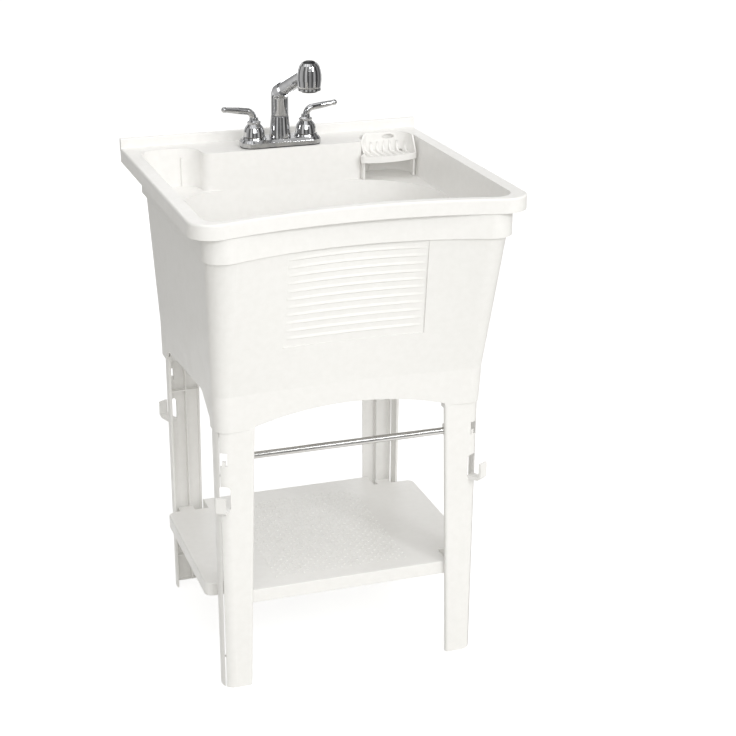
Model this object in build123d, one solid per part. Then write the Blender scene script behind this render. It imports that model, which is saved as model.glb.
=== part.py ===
"""Free-standing utility laundry sink with a two-handle tap and a pull-out spray.

Frame: X to the user's right, the front faces -Y, +Z up, floor at Z = 0. Millimetres.
The origin is on the floor, below the middle of the rim.
"""
from build123d import *
from dataclasses import dataclass, replace
from math import cos, degrees, hypot, pi, radians, sin, sqrt
import os

# ---- driving dimensions ------------------------------------------------------
RIM_TOP = 902.0            # rim and deck height
RIM_HALF = 295.0           # half the rim's width
RIM_BACK = 291.0           # back of the rim, as far from the middle as the front horns
FLANGE_DROP = 26.0         # depth of the turned-down rim
UPSTAND_TOP = 921.0        # back upstand
UPSTAND_THICK = 10.0
WALL = 4.0                 # moulding wall
SKIN = 3.5                 # leg and shelf wall
STEP_Z = 832.0             # step below the upper band, and the pockets' floor
POCKET_Z = 830.0
CREASE_Z = 575.0           # where the skirt turns nearly upright
SKIRT_Z = 508.0            # underside of the skirt's corners, top of the legs
BOWL_Z = 600.0             # bowl floor at its edge
BOWL_FALL = 5.0            # fall of the bowl floor to the drain
FLOOR_R = 26.0             # rounding between the bowl's floor and walls

TAP_Y = 220.0              # tap centre line
TAP_PITCH = 101.6          # 4 in centreset holes
LEAN = 20.0                # rise of the spout neck and spray, degrees
ELBOW_Z = 1003.0           # where the neck leaves the column's axis
SEAM = 40.0                # elbow to the spray's joint, along the neck
HEAD_REACH = 202.0         # elbow to the spray head's axis, along the neck
HEAD_DROP = 6.0            # middle of the spray head below the neck's axis

DRAIN_Y = 0.0
DISH_FLOOR = 870.0
SHELF_TOP = 189.0
SHELF_DEEP = 25.0
BAR_R = 6.35               # 1/2 in tube
BAR_Y = -197.0
BAR_Z = 455.0


# ---- the tub's plan at a level -------------------------------------------------
@dataclass
class Level:
    """Plan of the tub at one height: straight back and sides, front bowed inwards."""
    z: float
    half: float            # half width
    back: float            # Y of the back
    front: float           # Y of the front's middle
    bow: float             # radius of the bowed front
    front_r: float         # front corners
    back_r: float          # back corners
    notch: float = 0.0     # half width of the recess in the back, 0 for none
    notch_y: float = 0.0   # Y of the recess's floor
    outer_r: float = 0.0   # recess, corners at the back
    inner_r: float = 0.0   # recess, corners at its floor


def inset(level, d):
    """The same plan drawn in by d on every side."""
    plan = replace(level, half=level.half - d, back=level.back - d, front=level.front + d)
    plan = replace(plan, bow=level.bow + d, front_r=level.front_r - d, back_r=level.back_r - d)
    if level.notch:
        plan = replace(plan, notch=level.notch + d, notch_y=level.notch_y - d)
        plan = replace(plan, outer_r=level.outer_r - d, inner_r=level.inner_r + d)
    return plan


def between(low, high, z):
    """Plan at height z on the straight walls from one level to another."""
    t = (z - low.z) / (high.z - low.z)
    mixed = {}
    for name, a in low.__dict__.items():
        mixed[name] = a + t * (getattr(high, name) - a)
    return Level(**mixed)


def near(vertex, x, y, reach=8.0):
    return hypot(abs(vertex.X) - x, vertex.Y - y) < reach


def bow_y(level, x):
    """Y of the bowed front at x."""
    return level.front - level.bow + sqrt(level.bow**2 - x**2)


def plan_face(level):
    """Sketch of a level, at its height."""
    corner_y = bow_y(level, level.half)
    depth = level.back - corner_y
    face = Pos(0, corner_y + depth / 2) * Rectangle(2 * level.half, depth)
    face -= Pos(0, level.front - level.bow) * Circle(level.bow)
    if level.notch:
        cut = level.back - level.notch_y
        face -= Pos(0, level.back) * Rectangle(2 * level.notch, 2 * cut)
    corners = face.vertices()
    face = fillet([v for v in corners if near(v, level.half, corner_y)], level.front_r)
    corners = face.vertices()
    face = fillet([v for v in corners if near(v, level.half, level.back)], level.back_r)
    if level.notch:
        corners = face.vertices()
        face = fillet([v for v in corners if near(v, level.notch, level.back)], level.outer_r)
        corners = face.vertices()
        face = fillet([v for v in corners if near(v, level.notch, level.notch_y)], level.inner_r)
    return Pos(0, 0, level.z) * face


def walls(*levels):
    """Solid with straight walls through the levels, lowest first."""
    return loft([plan_face(level).face() for level in levels], ruled=True)


def prism(level, low, high):
    """Upright solid on one plan."""
    return extrude(plan_face(replace(level, z=low)), high - low)


RIM = Level(RIM_TOP, RIM_HALF, RIM_BACK, -256, 890, 42, 4)
BAND = Level(STEP_Z, 271.5, 253, -242, 660, 36, 40, 154, 193, 40, 14)
SKIRT_TOP = Level(STEP_Z, 265.5, 249.5, -238, 680, 36, 48, 154, 193, 38, 14)
SKIRT_CREASE = Level(CREASE_Z, 249, 242, -204, 2200, 24, 40, 154, 183, 36, 14)
SKIRT_LOW = Level(SKIRT_Z, 246.5, 240, -201, 2200, 24, 30, 154, 182, 34, 14)
MOUTH = Level(RIM_TOP, 269, 249.5, -239.5, 800, 32, 37, 158, 189, 36, 18)
POCKET = Level(POCKET_Z, 262.5, 246, -234.5, 750, 32, 48, 158, 189, 36, 18)
BOWL_TOP = Level(POCKET_Z, 261, 189, -232, 750, 34, 160)
BOWL_LOW = Level(BOWL_Z, 247, 174, -202, 1800, 45, 150)


# ---- small helpers -------------------------------------------------------------
def spin(points):
    """Solid of revolution about Z from a profile of (radius, height) points."""
    with BuildPart() as part:
        with BuildSketch(Plane.XZ):
            with BuildLine():
                Polyline(*points, close=True)
            make_face()
        revolve(axis=Axis.Z)
    return part.part


def tube(outer_r, inner_r, low, high, x=0.0, y=0.0):
    ring = Circle(outer_r) - Circle(inner_r) if inner_r else Circle(outer_r)
    return Pos(x, y, low) * extrude(ring, high - low)


def block(x0, x1, y0, y1, z0, z1):
    return Pos((x0 + x1) / 2, (y0 + y1) / 2, (z0 + z1) / 2) * Box(x1 - x0, y1 - y0, z1 - z0)


def hexagon_nut(flats, bore_r, low, high, x=0.0, y=0.0):
    face = RegularPolygon(flats / 2, 6, major_radius=False) - Circle(bore_r)
    return Pos(x, y, low) * extrude(face, high - low)


def both_sides(shape):
    return shape + mirror(shape, Plane.YZ)


# ---- basin ---------------------------------------------------------------------
RIDGES = 12                # ridges of the washboard in the front wall
RIDGE_PITCH = 14.6
RIDGE_TOP = 830.0
RIDGE_STEP = 2.8           # how far each ridge overhangs the next
RIDGE_END = 0.8            # what is left of a ridge's depth at its two ends
RECESS_DEEP = 3.0          # recess at its top, fading to nothing at its foot
RECESS_HALF_TOP = 124.0
RECESS_HALF_LOW = 128.0


def ridge_section(z, front_gap, depth, extra):
    """Strip of the front wall's plan at z, from front_gap to extra behind a hollow of depth."""
    wall = between(SKIRT_CREASE, SKIRT_TOP, z)
    share = (RIDGE_TOP - z) / (RIDGES * RIDGE_PITCH)
    half = RECESS_HALF_TOP + share * (RECESS_HALF_LOW - RECESS_HALF_TOP)
    rows = []
    for gap, end_gap in ((front_gap, front_gap), (depth + extra, RIDGE_END + extra)):
        side = (half, bow_y(wall, half) + end_gap)
        middle = (0, wall.front + gap)
        rows.append(ThreePointArc((-side[0], side[1]), middle, side))
    front, rear = rows
    outline = Curve() + [front, Line(front @ 1, rear @ 1), rear, Line(rear @ 0, front @ 0)]
    return Pos(0, 0, z) * make_face(outline.edges())


def ridge_stack(front_gap, extra):
    """Saw-tooth block through the front wall, its rear face extra behind the recess."""
    sections = []
    riser = 0.8
    for i in range(RIDGES):
        high = RIDGE_TOP - i * RIDGE_PITCH
        low = high - RIDGE_PITCH + riser
        deep_high = RECESS_DEEP * (1 - i / RIDGES) + RIDGE_STEP * (1 - i / RIDGES)
        deep_low = RECESS_DEEP * (1 - (i + 1) / RIDGES) + 0.8
        sections.append(ridge_section(high, front_gap, deep_high, extra))
        sections.append(ridge_section(low, front_gap, deep_low, extra))
    return loft([s.face() for s in sections], ruled=True)


def arch_cuts():
    """Openings under the skirt: front, back and both sides."""
    front_rise, front_half, front_bow = 535.5, 176.0, 677.0
    front = Pos(0, front_rise - front_bow) * Circle(front_bow)
    front &= Rectangle(2 * front_half, 2 * front_rise)
    cuts = Plane.XZ * extrude(front, 320)
    back = RectangleRounded(2 * 170, 2 * 565, 30)
    cuts += extrude(Plane.XZ.offset(-120) * back, -140)
    side = Polygon((-170, 400), (-170, 524), (-120, 560), (156, 535), (186, 500), (186, 400), align=None)
    peaks = [v for v in side.vertices() if v.Y > 530]
    side = fillet(peaks, 34)
    cuts += extrude(Plane.YZ * side, RIM_HALF, both=True)
    return cuts


def basin():
    flange_low = RIM_TOP - FLANGE_DROP
    rim = prism(RIM, flange_low, RIM_TOP)
    rim = fillet(rim.edges().group_by(Axis.Z)[-1], 3.5)
    rim -= prism(inset(RIM, WALL - 0.5), flange_low - 1, RIM_TOP - WALL)
    tub = rim + prism(BAND, STEP_Z, RIM_TOP - 1) + walls(SKIRT_LOW, SKIRT_CREASE, SKIRT_TOP)

    # Hollow from below: the leg sockets, and the space round the bowl's back corners
    void_top = POCKET_Z - WALL
    void = walls(
        replace(inset(SKIRT_LOW, WALL), z=SKIRT_Z - 1),
        inset(SKIRT_CREASE, WALL),
        inset(between(SKIRT_CREASE, SKIRT_TOP, void_top), WALL),
    )
    bowl_skin = walls(
        Level(BOWL_Z - 2 * WALL, 249, 178, -232, 1800, 43, 152),
        Level(POCKET_Z, 264, 193, -262, 750, 34, 162),
    )
    tub -= void - bowl_skin

    # Bowl, corner pockets and mouth
    tub -= walls(POCKET, replace(MOUTH, z=RIM_TOP + 1))
    rounding = []
    for i in range(5):
        turn = radians(90 * i / 4)
        level = between(BOWL_LOW, BOWL_TOP, BOWL_Z + FLOOR_R * (1 - cos(turn)))
        rounding.append(inset(level, FLOOR_R * (1 - sin(turn))))
    tub -= Pos(0, 0, 0.5) * walls(*rounding, BOWL_TOP)
    tub -= Pos(0, DRAIN_Y, BOWL_Z - BOWL_FALL / 2 + 0.5) * Cone(60, 150, BOWL_FALL)
    sump = Pos(0, DRAIN_Y, BOWL_Z - 2 * WALL - BOWL_FALL) * Cylinder(66, 12)
    tub += sump
    tub -= Pos(0, DRAIN_Y, BOWL_Z - BOWL_FALL) * Cylinder(60, 4)
    tub -= Pos(0, DRAIN_Y, BOWL_Z - 20) * Cylinder(45, 60)

    # Ridged recess in the front wall, with the wall behind it brought in as much
    tub += ridge_stack(1.0, WALL)
    tub -= ridge_stack(-14.0, 0.0)

    # Ribs in the pockets that hold a dish on either side
    rib = block(187, 188.8, 242.5, 250, POCKET_Z - 1, 884)
    tub += both_sides(rib)

    # Back upstand with a hollow foot, and ribs under the deck
    upstand = block(-RIM_HALF, RIM_HALF, RIM_BACK - UPSTAND_THICK, RIM_BACK, RIM_TOP - 6, UPSTAND_TOP)
    upstand = fillet(upstand.edges().filter_by(Axis.X).group_by(Axis.Z)[-1], 2.5)
    tub += upstand
    deck_rib = block(98, 100.5, 192, RIM_BACK - 2, flange_low + 4, RIM_TOP - 2)
    tub += both_sides(deck_rib)

    tub -= arch_cuts()
    for x in (-TAP_PITCH / 2, 0.0, TAP_PITCH / 2):
        tub -= tube(14, 0, RIM_TOP - 12, RIM_TOP + 2, x, TAP_Y)
    return tub


# ---- legs ----------------------------------------------------------------------
@dataclass
class LegPlan:
    """Corner-shaped section on the right-hand side, toward the viewer at +front."""
    inner: float           # X of the inner edge
    outer: float           # X of the outer face
    face: float            # Y of the face toward the outside
    depth: float           # from the face toward the tub's middle


FRONT_TOP = LegPlan(176, 244.5, -209, 36)
FRONT_FOOT = LegPlan(190.5, 243, -209, 30)
REAR_TOP = LegPlan(171, 240, 236, -42)
REAR_FOOT = LegPlan(175, 238, 236, -36)
CORNER_R = 22.0
LIP = 4.0                  # return along the inner edge of a leg, behind its face
FITTING_TURN = 60.0        # slot and hook look this far round from the side
TENON_TOP = 548.0
SLOT_Z = 457.0
HOOK_Z = 382.0


def leg_face(plan, gap, z):
    """Leg outline at z, drawn in by gap on all sides."""
    x0, x1 = plan.inner + gap, plan.outer - gap
    way = 1 if plan.depth > 0 else -1
    y0, y1 = plan.face + way * gap, plan.face + plan.depth - way * gap
    face = Pos((x0 + x1) / 2, (y0 + y1) / 2) * Rectangle(x1 - x0, abs(y1 - y0))
    outer = [v for v in face.vertices() if v.X > x1 - 1 and abs(v.Y - y0) < 1]
    inner = [v for v in face.vertices() if v.X < x0 + 1 and abs(v.Y - y0) < 1]
    face = fillet(outer, CORNER_R - gap)
    face = fillet([v for v in face.vertices() if near(v, inner[0].X, inner[0].Y, 1)], max(5 - gap, 1))
    return Pos(0, 0, z) * face


def corner_frame(plan, z, out=0.0):
    """Place on the leg's rounded corner, with local X pointing outwards."""
    way = 1 if plan.depth > 0 else -1
    angle = radians(-FITTING_TURN * way)
    x = plan.outer - CORNER_R + (CORNER_R + out) * cos(angle)
    y = plan.face + way * CORNER_R + (CORNER_R + out) * sin(angle)
    return Pos(x, y, z) * Rot(0, 0, degrees(angle))


def leg(top, foot):
    """Right-hand leg: an open corner moulding with slot, hook, ribs and a plug for the tub."""
    way = 1 if top.depth > 0 else -1
    shell = loft([leg_face(foot, 0, 0).face(), leg_face(top, 0, SKIRT_Z).face()], ruled=True)
    core = loft([leg_face(foot, SKIN, 4).face(), leg_face(top, SKIN, SKIRT_Z + 1).face()], ruled=True)
    shell -= core
    # Open toward the middle of the tub: only the face, a lip along it and the outer side stay
    y_near = top.face + way * (SKIN + LIP)
    y_far = top.face + way * 80
    side_wall = min(top.outer, foot.outer) - SKIN
    shell -= block(top.inner - 10, side_wall, min(y_near, y_far), max(y_near, y_far), -1, SKIRT_Z + 1)
    # Plug that fills the socket in the skirt's corner
    plug = extrude(leg_face(top, SKIN + 1.5, SKIRT_Z - 12), TENON_TOP - SKIRT_Z + 12)
    plug -= extrude(leg_face(top, 2 * SKIN + 1.5, SKIRT_Z - 13), TENON_TOP - SKIRT_Z + 14)
    shell += plug
    # Cross ribs
    middle = top.face + way * 16
    ribs = core & block(170, 250, min(top.face, middle), max(top.face, middle), 422, 425)
    ribs += core & block(170, 250, min(top.face, middle), max(top.face, middle), 60, 63)
    shell += ribs
    spine = (top.inner + top.outer) / 2 - 6
    shell += core & block(spine, spine + 2.5, min(top.face, middle), max(top.face, middle), 4, SKIRT_Z)
    # Latch slot in the rounded corner, with its tongue
    shell -= corner_frame(top, SLOT_Z) * Box(24, 13, 24)
    shell += corner_frame(top, SLOT_Z - 8, -SKIN) * Box(3, 6, 9)
    # D-shaped opening and the towel hook that is moulded in it
    d_shape = RectangleRounded(21, 46, 7)
    shell -= corner_frame(top, HOOK_Z, -10) * (Plane.YZ * extrude(d_shape, 20))
    inside = [(-6, -19), (18, -17), (21.5, -14), (21.5, 12)]
    outside = [(26, 12), (26, -16), (20, -22), (-6, -26)]
    hook = Polyline(*inside, *outside, close=True)
    hook = extrude(Plane.XZ * make_face(hook.edges()), 9, both=True)
    shell += corner_frame(top, HOOK_Z) * hook
    return shell


def rod_socket(shell):
    """Socket behind the inner edge of a front leg, for the end of the towel bar."""
    edge = FRONT_TOP.inner
    boss = block(edge + 4, edge + 20, FRONT_TOP.face + 1.5, BAR_Y + 9, BAR_Z - 10, BAR_Z + 10)
    bore = Pos(edge, BAR_Y, BAR_Z) * Rot(0, 90, 0) * Cylinder(BAR_R + 0.15, 32)
    return shell + boss - bore


# ---- shelf, towel bar, soap dish -------------------------------------------------
def shelf():
    deck = Pos(0, 8) * Rectangle(518, 314)
    deck = fillet(deck.vertices(), 14)
    deck += Pos(0, -172) * Rectangle(388, 50)
    deck += Pos(0, 183) * Rectangle(354, 48)
    tray = extrude(deck, SHELF_DEEP)
    hollow = offset(deck, -SKIN, kind=Kind.INTERSECTION)
    tray -= Pos(0, 0, -1) * extrude(hollow, SHELF_DEEP - SKIN + 1)
    ribs = Sketch()
    for i in range(-2, 3):
        ribs += Pos(i * 85, 8) * Rectangle(2.5, 400)
        ribs += Pos(0, 8 + i * 62) * Rectangle(520, 2.5)
    ribs &= hollow
    tray += Pos(0, 0, SHELF_DEEP - 16) * extrude(ribs, 14)
    tray = chamfer(tray.edges().group_by(Axis.Z)[-1], 1.2)
    tray = Pos(0, 0, SHELF_TOP - SHELF_DEEP) * tray
    for y, far in ((-146, -192), (162, 218)):
        tongue = block(196, 226, min(y, far), max(y, far), SHELF_TOP - SHELF_DEEP, SHELF_TOP - SHELF_DEEP + 8)
        tray += both_sides(tongue)
    return tray


def towel_bar():
    bar = Rot(0, 90, 0) * Cylinder(BAR_R, 2 * 190)
    return Pos(0, BAR_Y, BAR_Z) * chamfer(bar.edges(), 0.6)


DISH_RIM = 906.0           # top of the dish's back
DISH_LIP = 877.0           # top of its front edge


def soap_dish():
    """Loose fluted dish whose high back follows the corner of the pocket."""
    front = ThreePointArc((262, 176), (203, 160), (143, 170))
    sides = Polyline((143, 170), (161, 198), (163, 224), (177, 242), (262, 242), (262, 176))
    outline = make_face([front, *sides.edges()])
    outline = fillet([v for v in outline.vertices() if v.X > 260 and v.Y > 240], 37)
    outline = fillet([v for v in outline.vertices() if v.Y < 180], 8)
    outline = fillet([v for v in outline.vertices() if 190 < v.Y < 230 and v.X < 170], 8)
    low = DISH_FLOOR - 5
    dish = extrude(Pos(0, 0, low) * outline, DISH_RIM - low, dir=(0, 0, 1))
    dish -= extrude(Pos(0, 0, DISH_FLOOR) * offset(outline, -3), DISH_RIM, dir=(0, 0, 1))
    for i in range(7):
        groove = 166 + 13 * i
        dish -= block(groove, groove + 7, 172, 234, DISH_FLOOR - 2, DISH_FLOOR + 2)
    # The back falls to the low front edge at both ends
    above = DISH_RIM + 2
    left = Polygon((140, DISH_LIP), (204, DISH_LIP), (240, above), (140, above), align=None)
    right = Polygon((140, DISH_LIP), (180, DISH_LIP), (200, above), (140, above), align=None)
    dish -= Pos(130, 0, 0) * extrude(Plane.YZ * left, 50)
    dish -= Pos(180, 0, 0) * extrude(Plane.YZ * right, 90)
    hole = Plane.XZ.offset(-230) * (Pos(224, 897) * Ellipse(12, 4.5))
    dish -= extrude(hole, -20)
    for x, y in ((154, 179), (255, 178)):
        dish += block(x, x + 3, y, y + 14, POCKET_Z + 0.6, DISH_FLOOR)
    return dish


# ---- tap -------------------------------------------------------------------------
HOT_X = -TAP_PITCH / 2
GASKET = 2.0


def faucet_outline(grow=0.0):
    return Pos(0, TAP_Y) * RectangleRounded(156 + 2 * grow, 54 + 2 * grow, 21 + grow)


def faucet_gasket():
    pad = faucet_outline(-1) - faucet_outline(-9)
    return Pos(0, 0, RIM_TOP) * extrude(pad, GASKET)


def faucet_base():
    low = RIM_TOP + GASKET
    plate = Pos(0, 0, low) * extrude(faucet_outline(), 8)
    plate += Pos(0, 0, low + 8) * extrude(faucet_outline(), 5, taper=38)
    plate -= Pos(0, 0, low - 1) * extrude(faucet_outline(-3), 9)
    for x in (HOT_X, -HOT_X):
        plate += Pos(x, TAP_Y, 0) * spin([(0, 915), (24, 915), (22, 921), (0, 921)])
        plate -= tube(14.2, 0, 900, 930, x, TAP_Y)
    plate -= tube(13, 0, 900, 930, 0, TAP_Y)
    return plate


THREAD_R = 10.3            # supply end of the valve body
SHANK_R = 10.9             # stouter part above it, for the mounting nut
RELIEF_R = 9.8             # groove between the two


def valve_body(x):
    thread = [(9, 846), (THREAD_R, 846), (THREAD_R, 882), (RELIEF_R, 882), (RELIEF_R, 884.5)]
    shank = [(SHANK_R, 884.5), (SHANK_R, 908)]
    body = spin(thread + shank + [(14, 910), (14, 934), (9, 934)])
    return Pos(x, TAP_Y, 0) * body


def waterway():
    pipe = Pos(0, TAP_Y, 908.5) * Rot(0, 90, 0) * Cylinder(3.2, TAP_PITCH - 28.6)
    pipe -= Pos(0, TAP_Y, 908.5) * Rot(0, 90, 0) * Cylinder(2.2, TAP_PITCH)
    return pipe


def mounting_nuts():
    nuts = Part()
    bore_r = SHANK_R + 0.05
    for x in (HOT_X, -HOT_X):
        nut = spin([(bore_r, 884), (18, 884), (18, 897.8), (bore_r, 897.8)])
        wing = block(-27, 27, -2, 2, 884, 893)
        nut += wing - tube(bore_r, 0, 880, 900)
        nuts += Pos(x, TAP_Y, 0) * nut
    return nuts


def cartridge(x):
    return Pos(x, TAP_Y, 0) * spin([(3.4, 922), (8.8, 922), (8.8, 937), (3.4, 937)])


def valve_stem(x):
    stem = spin([(0, 924), (3.35, 924), (3.35, 945), (0, 945)])
    return Pos(x, TAP_Y, 0) * stem


LEVER_KNEE = (4.0, 968.0)  # where the lever turns outwards: reach from the hub's axis, height
LEVER_TIP = (57.0, 975.0)
LEVER_R = 6.3
TIP_R = 4.7
BALL_R = 5.6


def ball(radius):
    """Ball turned about Z, with a small flat at both poles."""
    flat = 0.2 * radius
    pole = sqrt(radius**2 - flat**2)
    side = ThreePointArc((flat, -pole), (radius, 0), (flat, pole))
    closing = Polyline((flat, pole), (0, pole), (0, -pole), (flat, -pole))
    half = make_face((Curve() + [side, closing]).edges())
    return revolve(Plane.XZ * half, Axis.Z)


def handle(x, side):
    """Bell-shaped hub with a lever that curves up and outwards to a ball end."""
    outside = [(0, 957), (8, 957), (8.5, 952), (13, 949), (12, 945), (17, 939), (19.5, 931), (20.5, 922)]
    inside = [(16, 922), (16, 934), (10, 940), (3.4, 940), (3.4, 945.3), (0, 945.3)]
    hub = spin(outside + inside)
    knee = (side * LEVER_KNEE[0], 0, LEVER_KNEE[1])
    slim = (side * LEVER_TIP[0], 0, LEVER_TIP[1])
    halfway = tuple((a + b) / 2 for a, b in zip(knee, slim))
    bend = FilletPolyline((0, 0, 950), knee, halfway, radius=14)
    lever = sweep(Plane(origin=bend @ 0, z_dir=bend % 0) * Circle(LEVER_R), path=bend)
    outward = bend % 1
    thick_end = (Plane(origin=halfway, z_dir=outward) * Circle(LEVER_R)).face()
    thin_end = (Plane(origin=slim, z_dir=outward) * Circle(TIP_R)).face()
    lever += loft([thick_end, thin_end])
    lever += Plane(origin=slim, z_dir=outward) * ball(BALL_R)
    screw_hole = Pos(0, -14, 938) * Rot(90, 0, 0) * Cylinder(1.6, 16)
    return Pos(x, TAP_Y, 0) * (hub + lever - screw_hole)


def handle_screw(x):
    return Pos(x, TAP_Y - 15.2, 938) * Rot(90, 0, 0) * Cylinder(1.5, 5)


def spout_column():
    column = spin([(9, 904.5), (12.8, 904.5), (12.8, 917.2), (20.5, 917.2), (16.6, 957), (9, 957)])
    column -= Pos(0, 0, 908.5) * Rot(0, 90, 0) * Cylinder(3.3, 60)
    return Pos(0, TAP_Y, 0) * column


def spout_bushing():
    return Pos(0, TAP_Y, 0) * spin([(9.5, 957), (16, 957), (16, 958.6), (9.5, 958.6)])


def along(distance):
    """Point on the neck's axis, from the elbow."""
    return (0, TAP_Y - distance * cos(radians(LEAN)), ELBOW_Z + distance * sin(radians(LEAN)))


def neck_plane(distance):
    return Plane(origin=along(distance), x_dir=(1, 0, 0), z_dir=(0, -cos(radians(LEAN)), sin(radians(LEAN))))


def neck_path(low, distance):
    return FilletPolyline((0, TAP_Y, low), (0, TAP_Y, ELBOW_Z), along(distance), radius=18)


def spout_neck():
    low = 958.9
    path = neck_path(low, SEAM)
    pipe = sweep(Pos(0, TAP_Y, low) * Circle(16.2), path=path)
    bore = sweep(Pos(0, TAP_Y, low) * Circle(12), path=path)
    return pipe - bore


HEAD_Y = along(HEAD_REACH)[1]
HEAD_Z = along(HEAD_REACH)[2] - HEAD_DROP


def spray_wand():
    """Pull-out spray: a tube on the neck's axis that ends in an egg-shaped head."""
    grip = loft([(neck_plane(SEAM + 0.4) * Circle(13.6)).face(), (neck_plane(HEAD_REACH) * Circle(12.2)).face()])
    egg = [(0, 22), (14, 22), (17.5, 17.5), (20, 10.5), (21.4, 2), (21.6, -8), (20.3, -19), (19.5, -22), (0, -22)]
    head = Pos(0, HEAD_Y, HEAD_Z) * spin(egg)
    plug = neck_plane(SEAM - 14) * extrude(Circle(11.6), 16)
    body = grip + head + plug
    body -= Pos(0, HEAD_Y, HEAD_Z) * spin([(0, 23), (12, 23), (12, 10), (17, 4), (17, -23), (0, -23)])
    bore = neck_plane(SEAM - 20) * extrude(Circle(6), HEAD_REACH - SEAM + 6)
    return body - bore


def in_head(shape):
    return Pos(0, HEAD_Y, HEAD_Z) * shape


def spray_button():
    return in_head(spin([(0, 12), (11.6, 12), (11.6, 22), (10, 24), (6, 25.4), (0, 25.8)]))


def button_spring():
    return in_head(spin([(3.6, -14), (4.8, -14), (4.8, 12), (3.6, 12)]))


def spray_ring():
    return in_head(spin([(16.6, -26), (20.4, -26), (20.4, -22.3), (16.6, -22.3)]))


def spray_nozzle():
    face = spin([(0, -29), (14, -29), (16.2, -26.5), (16.2, -14), (0, -14)])
    for ring_r, count in ((5, 6), (10, 10)):
        for i in range(count):
            turn = 2 * pi * i / count
            jet = extrude(RegularPolygon(1.1, 6), 2, both=True)
            face -= Pos(ring_r * cos(turn), ring_r * sin(turn), -29) * jet
    return in_head(face)


def hose_end():
    ferrule = neck_plane(SEAM - 26) * extrude(Circle(7.5) - Circle(4), 11.7)
    return ferrule


# ---- drain -----------------------------------------------------------------------
SUMP_TOP = BOWL_Z - BOWL_FALL - 2          # seat for the drain's flange
SUMP_LOW = BOWL_Z - 2 * WALL - BOWL_FALL - 6
BASKET_SEAT = SUMP_TOP - 4                 # ledge that the basket's rim rests on
OUTLET_LOW = SUMP_TOP - 74


def drain_body():
    top = SUMP_TOP
    inside = [(44, top + 1.8), (41, top - 2), (41, BASKET_SEAT), (38.6, BASKET_SEAT), (36, top - 44), (20, top - 48)]
    outside = [(22.5, top - 51), (39, top - 47.5), (43.5, top - 44), (43.5, top), (56, top), (56, top + 1.8)]
    outlet = [(20, OUTLET_LOW), (22.5, OUTLET_LOW)]
    return Pos(0, DRAIN_Y, 0) * spin(inside + outlet + outside)


def drain_washer():
    return tube(56, 44.6, SUMP_LOW - 3, SUMP_LOW, 0, DRAIN_Y)


def drain_locknut():
    low = SUMP_LOW - 15
    nut = tube(54, 43.6, low, SUMP_LOW - 3, 0, DRAIN_Y)
    for i in range(8):
        nut += Pos(0, DRAIN_Y, low) * Rot(0, 0, 45 * i) * block(52, 60, -5, 5, 0, 12)
    return nut - tube(43.6, 0, low - 1, SUMP_LOW, 0, DRAIN_Y)


def strainer_basket():
    top = BASKET_SEAT + 0.05
    cup = [(0, top - 30), (30, top - 30), (36.8, top), (40.6, top), (40.6, top + 1.5), (35.9, top + 1.5)]
    cup += [(28.8, top - 28.5), (0, top - 28.5)]
    basket = spin(cup)
    for ring_r, count in ((12, 8), (21, 14)):
        for i in range(count):
            turn = 2 * pi * i / count
            hole = extrude(RegularPolygon(2.4, 8), 6, both=True)
            basket -= Pos(ring_r * cos(turn), ring_r * sin(turn), top - 29) * hole
    basket -= Pos(0, 0, top - 29) * Cylinder(2.6, 6)
    return Pos(0, DRAIN_Y, 0) * basket


def basket_post():
    low = BASKET_SEAT - 30
    profile = [(0, low - 6), (6, low - 6), (6, low - 0.1), (2.4, low - 0.1), (2.4, low + 1.7), (6, low + 1.7)]
    profile += [(4, low + 6), (4, low + 22), (8, low + 24), (8, low + 28), (0, low + 28)]
    return Pos(0, DRAIN_Y, 0) * spin(profile)


def tailpiece():
    low = OUTLET_LOW - 38
    neck = tube(18.8, 17.4, OUTLET_LOW - 7, OUTLET_LOW, 0, DRAIN_Y)
    collar = tube(22, 17.4, OUTLET_LOW - 3, OUTLET_LOW, 0, DRAIN_Y)
    return tube(19, 17.4, low, OUTLET_LOW - 7, 0, DRAIN_Y) + neck + collar


def tailpiece_nut():
    nut = hexagon_nut(56, 22.6, OUTLET_LOW - 3.1, OUTLET_LOW + 12, 0, DRAIN_Y)
    return nut + tube(26, 19.1, OUTLET_LOW - 5, OUTLET_LOW - 3.1, 0, DRAIN_Y)


# ---- write -----------------------------------------------------------------------
def all_nodes():
    front_leg = rod_socket(leg(FRONT_TOP, FRONT_FOOT))
    rear_leg = leg(REAR_TOP, REAR_FOOT)
    nodes = {
        "basin": basin(),
        "leg_front_right": front_leg,
        "leg_front_left": mirror(front_leg, Plane.YZ),
        "leg_rear_right": rear_leg,
        "leg_rear_left": mirror(rear_leg, Plane.YZ),
        "shelf": shelf(),
        "towel_bar": towel_bar(),
        "soap_dish": soap_dish(),
        "faucet_gasket": faucet_gasket(),
        "faucet_base": faucet_base(),
        "waterway": waterway(),
        "mounting_nuts": mounting_nuts(),
        "spout_column": spout_column(),
        "spout_bushing": spout_bushing(),
        "spout_neck": spout_neck(),
        "spray_wand": spray_wand(),
        "spray_button": spray_button(),
        "button_spring": button_spring(),
        "spray_ring": spray_ring(),
        "spray_nozzle": spray_nozzle(),
        "hose_end": hose_end(),
        "drain_body": drain_body(),
        "drain_washer": drain_washer(),
        "drain_locknut": drain_locknut(),
        "strainer_basket": strainer_basket(),
        "basket_post": basket_post(),
        "tailpiece": tailpiece(),
        "tailpiece_nut": tailpiece_nut(),
    }
    for name, x, side in (("hot", HOT_X, -1), ("cold", -HOT_X, 1)):
        nodes["valve_body_" + name] = valve_body(x)
        nodes["cartridge_" + name] = cartridge(x)
        nodes["valve_stem_" + name] = valve_stem(x)
        nodes["handle_" + name] = handle(x, side)
        nodes["handle_screw_" + name] = handle_screw(x)
    return nodes


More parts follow.
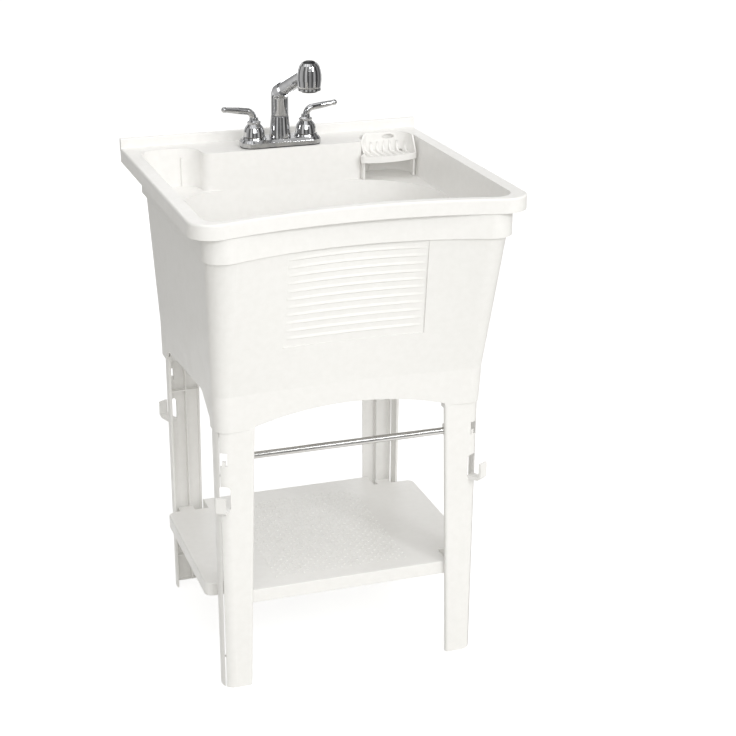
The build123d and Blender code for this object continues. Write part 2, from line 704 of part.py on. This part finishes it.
os.makedirs("parts", exist_ok=True)
for node, shape in all_nodes().items():
    export_step(shape, f"parts/{node}.step")
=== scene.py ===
"""Looks of the utility laundry sink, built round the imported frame. Units are metres."""
import math

import bmesh
import bpy
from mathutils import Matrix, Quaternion, Vector
from mathutils.bvhtree import BVHTree


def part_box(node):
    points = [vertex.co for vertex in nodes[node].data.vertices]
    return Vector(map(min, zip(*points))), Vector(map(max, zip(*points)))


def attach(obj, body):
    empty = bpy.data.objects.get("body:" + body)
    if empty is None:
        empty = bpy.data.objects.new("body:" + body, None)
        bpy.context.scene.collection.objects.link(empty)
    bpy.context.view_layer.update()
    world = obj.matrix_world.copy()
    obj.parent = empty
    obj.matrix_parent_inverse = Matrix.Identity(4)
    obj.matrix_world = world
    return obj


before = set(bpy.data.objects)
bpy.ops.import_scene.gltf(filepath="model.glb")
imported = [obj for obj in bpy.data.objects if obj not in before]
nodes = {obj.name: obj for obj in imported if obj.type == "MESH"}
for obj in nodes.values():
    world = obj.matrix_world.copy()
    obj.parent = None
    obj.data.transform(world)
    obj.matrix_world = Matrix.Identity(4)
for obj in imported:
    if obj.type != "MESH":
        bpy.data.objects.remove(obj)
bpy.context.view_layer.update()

scene = bpy.context.scene


def add_object(name, data):
    """New object in the scene that holds data."""
    thing = bpy.data.objects.new(name, data)
    scene.collection.objects.link(thing)
    return thing


def direction_out(azimuth, elevation):
    """Direction out to a camera or lamp: azimuth 0 is in front of the sink, and 90 on its right."""
    a, e = math.radians(azimuth), math.radians(elevation)
    return Vector((math.sin(a) * math.cos(e), -math.cos(a) * math.cos(e), math.sin(e)))


def look_back(thing, direction, roll=0.0):
    """Turns a camera or lamp to look back along direction, with roll in degrees."""
    aim = (-direction).to_track_quat("-Z", "Y")
    thing.rotation_mode = "QUATERNION"
    thing.rotation_quaternion = aim @ Quaternion((0, 0, 1), math.radians(roll))


# ---- camera ----------------------------------------------------------------------
IMAGE_PX = 736
FOCAL_PX = 1621.8
AXIS_PX = (302.8, 400.2)           # where the lens axis meets the picture
SENSOR_MM = 36.0
CAMERA_AT = (-0.84737, -2.70460, 1.59750)
CAMERA_AZIMUTH, CAMERA_ELEVATION, CAMERA_ROLL = -16.889, 21.844, -0.506


def make_camera():
    data = bpy.data.cameras.new("camera")
    data.sensor_width = SENSOR_MM
    data.lens = FOCAL_PX / IMAGE_PX * SENSOR_MM
    data.shift_x = (IMAGE_PX / 2 - AXIS_PX[0]) / IMAGE_PX
    data.shift_y = (AXIS_PX[1] - IMAGE_PX / 2) / IMAGE_PX
    camera = add_object("camera", data)
    camera.location = CAMERA_AT
    look_back(camera, direction_out(CAMERA_AZIMUTH, CAMERA_ELEVATION), CAMERA_ROLL)
    scene.camera = camera


# ---- node trees ------------------------------------------------------------------
NOISE_SPAN = (0.35, 0.65)          # most of a noise texture's values lie between these
BEVEL_SAMPLES = 4
FIRST_COLOUR, SECOND_COLOUR, MIXED_COLOUR = 6, 7, 2      # a Mix node's sockets for colours

# Bright and dark panels round the studio, which metal and gloss reflect: the share of a turn
# from the left, by way of the front, and the brightness there
PANELS = (
    (0.00, 0.55), (0.06, 0.10), (0.12, 0.80), (0.17, 0.05), (0.22, 0.42), (0.29, 0.10), (0.34, 0.62),
    (0.41, 0.03), (0.47, 0.30), (0.55, 0.12), (0.60, 0.75), (0.66, 0.10), (0.72, 0.95), (0.77, 0.35),
    (0.83, 0.90), (0.88, 0.08), (0.94, 0.60), (1.00, 0.55),
)


class Tree:
    """Node tree of a material or of the world, with short calls to build it."""

    def __init__(self, owner, output):
        owner.use_nodes = True
        self.owner = owner
        self.tree = owner.node_tree
        self.tree.nodes.clear()
        self.output = self.add(output)

    def add(self, kind, **settings):
        node = self.tree.nodes.new("ShaderNode" + kind)
        for key, value in settings.items():
            setattr(node, key, value)
        return node

    def join(self, source, target):
        self.tree.links.new(source, target)

    def shader(self, kind, **sockets):
        """New shader. Its sockets, named with _ for a space, take constants or other nodes' outputs."""
        node = self.add(kind)
        for key, value in sockets.items():
            socket = node.inputs[key.replace("_", " ")]
            if isinstance(value, bpy.types.NodeSocket):
                self.join(value, socket)
            else:
                socket.default_value = value
        return node.outputs[0]

    def add_shaders(self, first, second):
        node = self.add("AddShader")
        self.join(first, node.inputs[0])
        self.join(second, node.inputs[1])
        return node.outputs[0]

    def mix_shaders(self, factor, first, second):
        """Shader that is first where factor is 0, and second where it is 1."""
        node = self.add("MixShader")
        for index, source in enumerate((factor, first, second)):
            self.join(source, node.inputs[index])
        return node.outputs[0]

    def show(self, shader):
        """Makes shader the surface, and returns the material or world."""
        self.join(shader, self.output.inputs["Surface"])
        return self.owner

    def finish(self, colour, roughness, normal, **constants):
        """Makes a principled surface of three other nodes' outputs, and returns the material."""
        sockets = dict(constants, Base_Color=colour, Roughness=roughness, Normal=normal)
        return self.show(self.shader("BsdfPrincipled", **sockets))

    def is_ray(self, kind):
        """1 for a ray of this kind, such as Camera, and 0 for any other."""
        return self.add("LightPath").outputs[f"Is {kind} Ray"]

    def position(self, stretch=(1, 1, 1)):
        """Object coordinates, stretched."""
        place = self.add("TexCoord")
        scale = self.add("Mapping")
        scale.inputs["Scale"].default_value = stretch
        self.join(place.outputs["Object"], scale.inputs["Vector"])
        return scale.outputs["Vector"]

    def noise(self, size, detail, stretch=(1, 1, 1)):
        """Noise whose blotches are about size metres across."""
        node = self.add("TexNoise")
        node.inputs["Scale"].default_value = 1 / size
        node.inputs["Detail"].default_value = detail
        self.join(self.position(stretch), node.inputs["Vector"])
        return node.outputs["Fac"]

    def remap(self, value, span, low=0.0, high=1.0):
        """Number that goes from low to high while value goes through span."""
        node = self.add("MapRange")
        node.inputs["From Min"].default_value = span[0]
        node.inputs["From Max"].default_value = span[1]
        node.inputs["To Min"].default_value = low
        node.inputs["To Max"].default_value = high
        self.join(value, node.inputs["Value"])
        return node.outputs["Result"]

    def vary(self, noise, low, high):
        """Number or colour that goes from low to high with a noise."""
        if not isinstance(low, tuple):
            return self.remap(noise, NOISE_SPAN, low, high)
        mix = self.add("Mix", data_type="RGBA")
        self.join(self.remap(noise, NOISE_SPAN), mix.inputs[0])
        mix.inputs[FIRST_COLOUR].default_value = (*low, 1)
        mix.inputs[SECOND_COLOUR].default_value = (*high, 1)
        return mix.outputs[MIXED_COLOUR]

    def soft_edges(self, radius):
        """Normal that turns gently round every edge."""
        node = self.add("Bevel", samples=BEVEL_SAMPLES)
        node.inputs["Radius"].default_value = radius
        return node.outputs["Normal"]

    def bump(self, height, distance, strength, normal):
        node = self.add("Bump")
        node.inputs["Strength"].default_value = strength
        node.inputs["Distance"].default_value = distance
        self.join(height, node.inputs["Height"])
        self.join(normal, node.inputs["Normal"])
        return node.outputs["Normal"]

    def panel_ring(self, direction):
        """Brightness of the studio's panels in a direction from its middle."""
        parts = self.add("SeparateXYZ")
        self.join(direction, parts.inputs[0])
        angle = self.add("Math", operation="ARCTAN2")
        self.join(parts.outputs["Y"], angle.inputs[0])
        self.join(parts.outputs["X"], angle.inputs[1])
        ramp = self.add("ValToRGB")
        ramp.color_ramp.interpolation = "EASE"
        stops = ramp.color_ramp.elements
        while len(stops) > 1:
            stops.remove(stops[-1])
        for index, (turn, level) in enumerate(PANELS):
            stop = stops[0] if index == 0 else stops.new(turn)
            stop.position = turn
            stop.color = (level, level, level, 1)
        self.join(self.remap(angle.outputs[0], (-math.pi, math.pi)), ramp.inputs["Fac"])
        return ramp.outputs["Color"]


# ---- materials -------------------------------------------------------------------
def new_material(name):
    return Tree(bpy.data.materials.new(name), "OutputMaterial")


def moulded_plastic(name, low, high, rough=(0.28, 0.40), edge=0.0012):
    """Injection-moulded plastic: slow colour drift, sheen that varies, and a fine skin."""
    m = new_material(name)
    colour = m.vary(m.noise(size=0.012, detail=5), low, high)
    roughness = m.vary(m.noise(size=0.03, detail=5), *rough)
    grain = m.noise(size=0.0011, detail=2)
    skin = m.bump(grain, distance=0.00003, strength=1.0, normal=m.soft_edges(edge))
    ripple = m.noise(size=0.05, detail=2, stretch=(1, 1, 0.4))
    flow = m.bump(ripple, distance=0.0003, strength=0.1, normal=skin)
    return m.finish(colour, roughness, flow, IOR=1.49)


def plated(name, low, high):
    """Chrome plate: a bright mirror with faint water marks and polishing waves."""
    m = new_material(name)
    colour = m.vary(m.noise(size=0.02, detail=3), low, high)
    roughness = m.vary(m.noise(size=0.012, detail=5), 0.03, 0.09)
    wave = m.noise(size=0.011, detail=2)
    normal = m.bump(wave, distance=0.00008, strength=0.4, normal=m.soft_edges(0.0008))
    return m.finish(colour, roughness, normal, Metallic=1.0)


def brushed(name, low, high, stretch):
    """Metal with fine lines along one axis, which stretch makes long."""
    m = new_material(name)
    lines = m.noise(size=0.0009, detail=4, stretch=stretch)
    colour = m.vary(m.noise(size=0.004, detail=4, stretch=stretch), low, high)
    roughness = m.vary(lines, 0.22, 0.36)
    normal = m.bump(lines, distance=0.00002, strength=0.6, normal=m.soft_edges(0.0005))
    return m.finish(colour, roughness, normal, Metallic=1.0)


def soft_matte(name, low, high, rough=(0.55, 0.75)):
    """Rubber, or plastic with a matt skin."""
    m = new_material(name)
    colour = m.vary(m.noise(size=0.01, detail=5), low, high)
    roughness = m.vary(m.noise(size=0.006, detail=4), *rough)
    grain = m.noise(size=0.0008, detail=3)
    skin = m.bump(grain, distance=0.00006, strength=1.0, normal=m.soft_edges(0.0005))
    return m.finish(colour, roughness, skin)


WHITE = moulded_plastic("white_moulding", (0.882, 0.877, 0.863), (0.902, 0.897, 0.885), edge=0.0006)
CHROME = plated("chrome_plate", (0.55, 0.55, 0.56), (0.66, 0.66, 0.66))
STEEL_BAR = brushed("drawn_steel", (0.50, 0.49, 0.47), (0.68, 0.67, 0.65), (0.03, 1, 1))
STEEL = brushed("turned_steel", (0.55, 0.55, 0.54), (0.70, 0.70, 0.69), (1, 1, 0.15))
BRASS = brushed("turned_brass", (0.62, 0.43, 0.18), (0.78, 0.58, 0.28), (1, 1, 6))
RUBBER = soft_matte("black_rubber", (0.012, 0.012, 0.012), (0.03, 0.03, 0.03))
BLACK = moulded_plastic("black_moulding", (0.006, 0.006, 0.007), (0.014, 0.014, 0.015))
GREY = soft_matte("grey_moulding", (0.20, 0.20, 0.21), (0.27, 0.27, 0.28), (0.4, 0.55))
DRAIN_WHITE = moulded_plastic("white_drain_moulding", (0.70, 0.69, 0.66), (0.78, 0.77, 0.74), (0.4, 0.5))

FINISHES = (
    (WHITE, "basin leg_front_left leg_front_right leg_rear_left leg_rear_right shelf soap_dish"),
    (STEEL_BAR, "towel_bar"),
    (CHROME, "faucet_base spout_column spout_neck spray_wand spray_ring handle_hot handle_cold"),
    (STEEL, "handle_screw_hot handle_screw_cold button_spring strainer_basket drain_body basket_post"),
    (BRASS, "valve_body_hot valve_body_cold valve_stem_hot valve_stem_cold waterway hose_end"),
    (GREY, "cartridge_hot cartridge_cold spout_bushing"),
    (BLACK, "spray_button spray_nozzle"),
    (RUBBER, "faucet_gasket drain_washer"),
    (DRAIN_WHITE, "mounting_nuts drain_locknut tailpiece tailpiece_nut"),
)


def dress_nodes():
    """Gives every node of the frame its finish."""
    for material, names in FINISHES:
        for name in names.split():
            mesh = nodes[name].data
            mesh.materials.clear()
            mesh.materials.append(material)


# ---- meshes ----------------------------------------------------------------------
def skin_rings(faces, first, rings, points, closed=True):
    """Adds quads between neighbouring rings of points, which are numbered ring after ring from first."""
    for ring in range(rings - 1):
        a = first + ring * points
        b = a + points
        for i in range(points if closed else points - 1):
            j = (i + 1) % points
            faces.append((a + i, a + j, b + j, b + i))


def mesh_piece(name, verts, faces, material, body="stand", smooth=True):
    mesh = bpy.data.meshes.new(name)
    mesh.from_pydata(verts, [], faces)
    mesh.validate()
    if smooth:
        mesh.shade_smooth()
    mesh.materials.append(material)
    piece = add_object(name, mesh)
    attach(piece, body)
    return piece


# ---- shelf grip ------------------------------------------------------------------
SHELF_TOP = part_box("shelf")[1][2]
GRIP_PITCH_X, GRIP_PITCH_Y = 0.018, 0.009    # between dots, with every other row shifted by half
GRIP_HALF_X, GRIP_HALF_Y = 0.128, 0.158      # half the size of the dotted field
DOT_SIDES = 10
DOT_RINGS = ((0.0027, 0.0), (0.0022, 0.0006), (0.0012, 0.00105))     # radius, height over the shelf
DOT_TALL = 0.00125


def add_dot(verts, faces, x, y):
    """One raised dot: rings that narrow upwards, closed by a middle point."""
    first = len(verts)
    for radius, up in DOT_RINGS:
        for i in range(DOT_SIDES):
            turn = 2 * math.pi * i / DOT_SIDES
            verts.append((x + radius * math.cos(turn), y + radius * math.sin(turn), SHELF_TOP + up))
    middle = len(verts)
    verts.append((x, y, SHELF_TOP + DOT_TALL))
    skin_rings(faces, first, len(DOT_RINGS), DOT_SIDES)
    top = middle - DOT_SIDES
    for i in range(DOT_SIDES):
        faces.append((top + i, top + (i + 1) % DOT_SIDES, middle))


def make_shelf_grip():
    """Raised dots that keep things from sliding on the shelf."""
    verts, faces = [], []
    rows = int(2 * GRIP_HALF_Y / GRIP_PITCH_Y) + 1
    for row in range(rows):
        x = -GRIP_HALF_X + (GRIP_PITCH_X / 2 if row % 2 else 0)
        while x <= GRIP_HALF_X:
            add_dot(verts, faces, x, -GRIP_HALF_Y + row * GRIP_PITCH_Y)
            x += GRIP_PITCH_X
    mesh_piece("shelf_grip", verts, faces, WHITE)


# ---- washboard lips --------------------------------------------------------------
RIDGES, RIDGE_PITCH, RIDGE_TOP = 12, 0.0146, 0.830
OUTSIDE_Y = -0.5                   # in front of the basin
LIP_HALF, LIP_COLUMNS = 0.1225, 60
LIP_FOOT = 0.0010                  # height of a lip's foot over its ridge's, and from that foot:
LIP_TALL = 0.006
LIP_EDGE_TOP, LIP_EDGE_MIDDLE, LIP_EDGE_BOTTOM = 0.0012, 0.0006, 0.0002
LIP_ROOT = -0.0004
NEXT_RIDGE = -0.0018               # where the wall under the lip is measured
LIP_OUT = 0.0022                   # how far a full lip stands out from the wall
LIP_FIRST, LIP_END = 0.45, 0.25    # share of that at the top of the washboard, and at a lip's ends
LIP_FADE = 6                       # a lip fades over the last sixth of its half width
LIP_TOP_SUNK, LIP_ROOT_SUNK = 0.0003, 0.0004


def front_surface(basin_tree, x, z):
    """Y of the basin's front wall at x and z, from outside."""
    hit = basin_tree.ray_cast(Vector((x, OUTSIDE_Y, z)), Vector((0, 1, 0)))[0]
    return hit.y


def lip_points(tree, x, foot, out):
    """Four points round a lip at x: its top on the wall, its edge's two corners, and its root."""
    wall = front_surface(tree, x, foot + LIP_TALL)
    edge = front_surface(tree, x, foot + LIP_EDGE_MIDDLE)
    below = front_surface(tree, x, foot + NEXT_RIDGE)
    return (
        (x, wall + LIP_TOP_SUNK, foot + LIP_TALL),
        (x, edge - out, foot + LIP_EDGE_TOP),
        (x, edge - out, foot + LIP_EDGE_BOTTOM),
        (x, max(edge, below) + LIP_ROOT_SUNK, foot + LIP_ROOT),
    )


def make_washboard_lips():
    """Thin lip along the foot of every ridge but the last, which throws the washboard's fine lines."""
    basin = nodes["basin"].data
    tree = BVHTree.FromPolygons([v.co for v in basin.vertices], [p.vertices for p in basin.polygons])
    verts, faces = [], []
    for row in range(RIDGES - 1):
        foot = RIDGE_TOP - (row + 1) * RIDGE_PITCH + LIP_FOOT
        depth = LIP_OUT * (LIP_FIRST + (1 - LIP_FIRST) * row / RIDGES)
        first = len(verts)
        for i in range(LIP_COLUMNS + 1):
            x = -LIP_HALF + 2 * LIP_HALF * i / LIP_COLUMNS
            inward = min(1.0, LIP_FADE * (1 - abs(x) / LIP_HALF))
            verts.extend(lip_points(tree, x, foot, depth * (LIP_END + (1 - LIP_END) * inward)))
        skin_rings(faces, first, LIP_COLUMNS + 1, points=4)
        last = len(verts) - 4
        faces.append((first, first + 3, first + 2, first + 1))
        faces.append((last, last + 1, last + 2, last + 3))
    piece = mesh_piece("washboard_lips", verts, faces, WHITE, smooth=False)


# ---- dish flutes -----------------------------------------------------------------
DISH_DEPTH = 0.036                 # from the top of the dish's back down to its floor
DISH_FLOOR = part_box("soap_dish")[1][2] - DISH_DEPTH
CORNER_X, CORNER_CURVE = 0.225, 0.05         # past this X the back curves forward
FLUTES, FLUTE_FIRST_X, FLUTE_PITCH = 7, 0.176, 0.013
FLUTE_R, FLUTE_SIDES = 0.0026, 8
FLUTE_SUNK = 0.0003
FLUTE_FRONT, FLUTE_BACK = 0.1745, 0.2270     # Y of their front ends, and of where they turn up
FLUTE_NOSE = ((0.0, 0.35), (0.003, 0.85))    # distance from the front end, share of the full rib
FLUTE_NOSE_LONG, FLUTE_STEPS = 0.006, 8
BEND_R, BEND_DEGREES, BEND_STEPS = 0.011, 80, 6
BEND_FADE = 0.06                   # share of the rib lost at each step of the bend
FLUTE_RISE, FLUTE_TIP = 0.010, 0.3           # height of the last stretch, and share of the rib at its top


def flute_path(x):
    """Points along the flute at x: Y, height over the dish's floor, and share of the full rib."""
    past_corner = max(0.0, x - CORNER_X)
    back = FLUTE_BACK - past_corner * past_corner / CORNER_CURVE
    start = FLUTE_FRONT + FLUTE_NOSE_LONG
    path = [(FLUTE_FRONT + along, 0.0, share) for along, share in FLUTE_NOSE]
    for i in range(FLUTE_STEPS + 1):
        path.append((start + (back - start) * i / FLUTE_STEPS, 0.0, 1.0))
    for i in range(1, BEND_STEPS + 1):
        turn = math.radians(BEND_DEGREES * i / BEND_STEPS)
        path.append((back + BEND_R * math.sin(turn), BEND_R * (1 - math.cos(turn)), 1.0 - BEND_FADE * i))
    y, up, _ = path[-1]
    lean = FLUTE_RISE * math.cos(math.radians(BEND_DEGREES))
    path.append((y + lean, up + FLUTE_RISE, FLUTE_TIP))
    return path


def make_dish_flutes():
    """Rounded ribs on the dish's floor that turn up its back and fade out."""
    verts, faces = [], []
    points = FLUTE_SIDES + 1
    for rib in range(FLUTES):
        x = FLUTE_FIRST_X + rib * FLUTE_PITCH
        path = flute_path(x)
        first = len(verts)
        for index, (y, up, share) in enumerate(path):
            before, after = path[max(index - 1, 0)], path[min(index + 1, len(path) - 1)]
            slope = math.atan2(after[1] - before[1], after[0] - before[0])
            for k in range(points):
                turn = math.pi * k / FLUTE_SIDES
                lift = FLUTE_R * share * math.sin(turn) - FLUTE_SUNK
                z = DISH_FLOOR + up + lift * math.cos(slope)
                verts.append((x + FLUTE_R * math.cos(turn), y - lift * math.sin(slope), z))
        skin_rings(faces, first, len(path), points, closed=False)
        last = len(verts) - points
        faces.append(tuple(range(first, first + points)))
        faces.append(tuple(reversed(range(last, last + points))))
    piece = mesh_piece("dish_flutes", verts, faces, WHITE, "dish")


# ---- studio ----------------------------------------------------------------------
FLOOR_HALF, FLOOR_CELLS = 12.0, 8
FLOOR_GREY = (0.5, 0.5, 0.5, 1)    # the part of the floor's white that shadows can darken
FLOOR_GLOW = 0.72                  # the part that they can't
FLOOR_BOUNCE = (0.62, 0.62, 0.60, 1)         # the floor as it lights the sink from below
TABLE_R = 0.9                      # metal sees the floor fade from here, and end at twice this
AMBIENT = 0.64
AMBIENT_LEAN = (0.22, -0.42, 0.10)           # more light from the right, the front and above
AMBIENT_TINT = (1.0, 0.98, 0.94, 1)
BACKDROP = (1, 1, 1, 1)
LAMP_TINT = (0.97, 0.985, 1.0)
AIM = Vector((0, 0, 0.55))
LAMPS = (                          # name, azimuth, elevation, distance, width and height, watts
    ("key", 24, 32, 3.6, (0.5, 0.5), 18),
    ("front", -8, 25, 5.0, (3.0, 1.6), 49),
    ("top", -60, 80, 3.2, (2.4, 2.4), 13),
    ("rear", 165, 6, 4.0, (2.4, 1.2), 16),
)
BOUNCES, DIFFUSE_BOUNCES = 16, 12  # light reaches deep into the white bowl


def make_floor():
    """White floor that keeps the sink's shadow. Metal sees it close by, and the panels further out."""
    bm = bmesh.new()
    bmesh.ops.create_grid(bm, x_segments=FLOOR_CELLS, y_segments=FLOOR_CELLS, size=FLOOR_HALF)
    mesh = bpy.data.meshes.new("studio_floor")
    bm.to_mesh(mesh)
    bm.free()
    m = new_material("studio_floor")
    seen = m.add_shaders(m.shader("BsdfDiffuse", Color=FLOOR_GREY), m.shader("Emission", Strength=FLOOR_GLOW))
    place = m.position()
    distance = m.add("VectorMath", operation="LENGTH")
    m.join(place, distance.inputs[0])
    far = m.remap(distance.outputs["Value"], (TABLE_R, 2 * TABLE_R))
    mirrored = m.mix_shaders(far, seen, m.shader("Emission", Color=m.panel_ring(place)))
    bounced = m.shader("BsdfDiffuse", Color=FLOOR_BOUNCE)
    unseen = m.mix_shaders(m.is_ray("Glossy"), bounced, mirrored)
    mesh.materials.append(m.show(m.mix_shaders(m.is_ray("Camera"), unseen, seen)))
    add_object("studio_floor", mesh)


def make_world():
    """Even room, a little brighter in front and above, with panels that only metal and gloss see."""
    scene.world = bpy.data.worlds.new("studio_world")
    w = Tree(scene.world, "OutputWorld")
    direction = w.add("TexCoord").outputs["Generated"]
    lean = w.add("VectorMath", operation="DOT_PRODUCT")
    lean.inputs[1].default_value = AMBIENT_LEAN
    w.join(direction, lean.inputs[0])
    level = w.add("Math", operation="ADD")
    level.inputs[1].default_value = AMBIENT
    w.join(lean.outputs["Value"], level.inputs[0])
    ambient = w.shader("Background", Color=AMBIENT_TINT, Strength=level.outputs[0])
    mirrored = w.shader("Background", Color=w.panel_ring(direction))
    unseen = w.mix_shaders(w.is_ray("Glossy"), ambient, mirrored)
    w.show(w.mix_shaders(w.is_ray("Camera"), unseen, w.shader("Background", Color=BACKDROP)))


def make_lamp(name, azimuth, elevation, distance, size, watts):
    data = bpy.data.lights.new(name, "AREA")
    data.shape = "RECTANGLE"
    data.size, data.size_y = size
    data.energy = watts
    data.color = LAMP_TINT
    lamp = add_object(name, data)
    direction = direction_out(azimuth, elevation)
    lamp.location = AIM + direction * distance
    look_back(lamp, direction)


# ---- run -------------------------------------------------------------------------
make_camera()
dress_nodes()
make_shelf_grip()
make_washboard_lips()
make_dish_flutes()
make_floor()
make_world()
for lamp_values in LAMPS:
    make_lamp(*lamp_values)
scene.view_settings.view_transform = "Standard"
scene.cycles.max_bounces = BOUNCES
scene.cycles.diffuse_bounces = DIFFUSE_BOUNCES
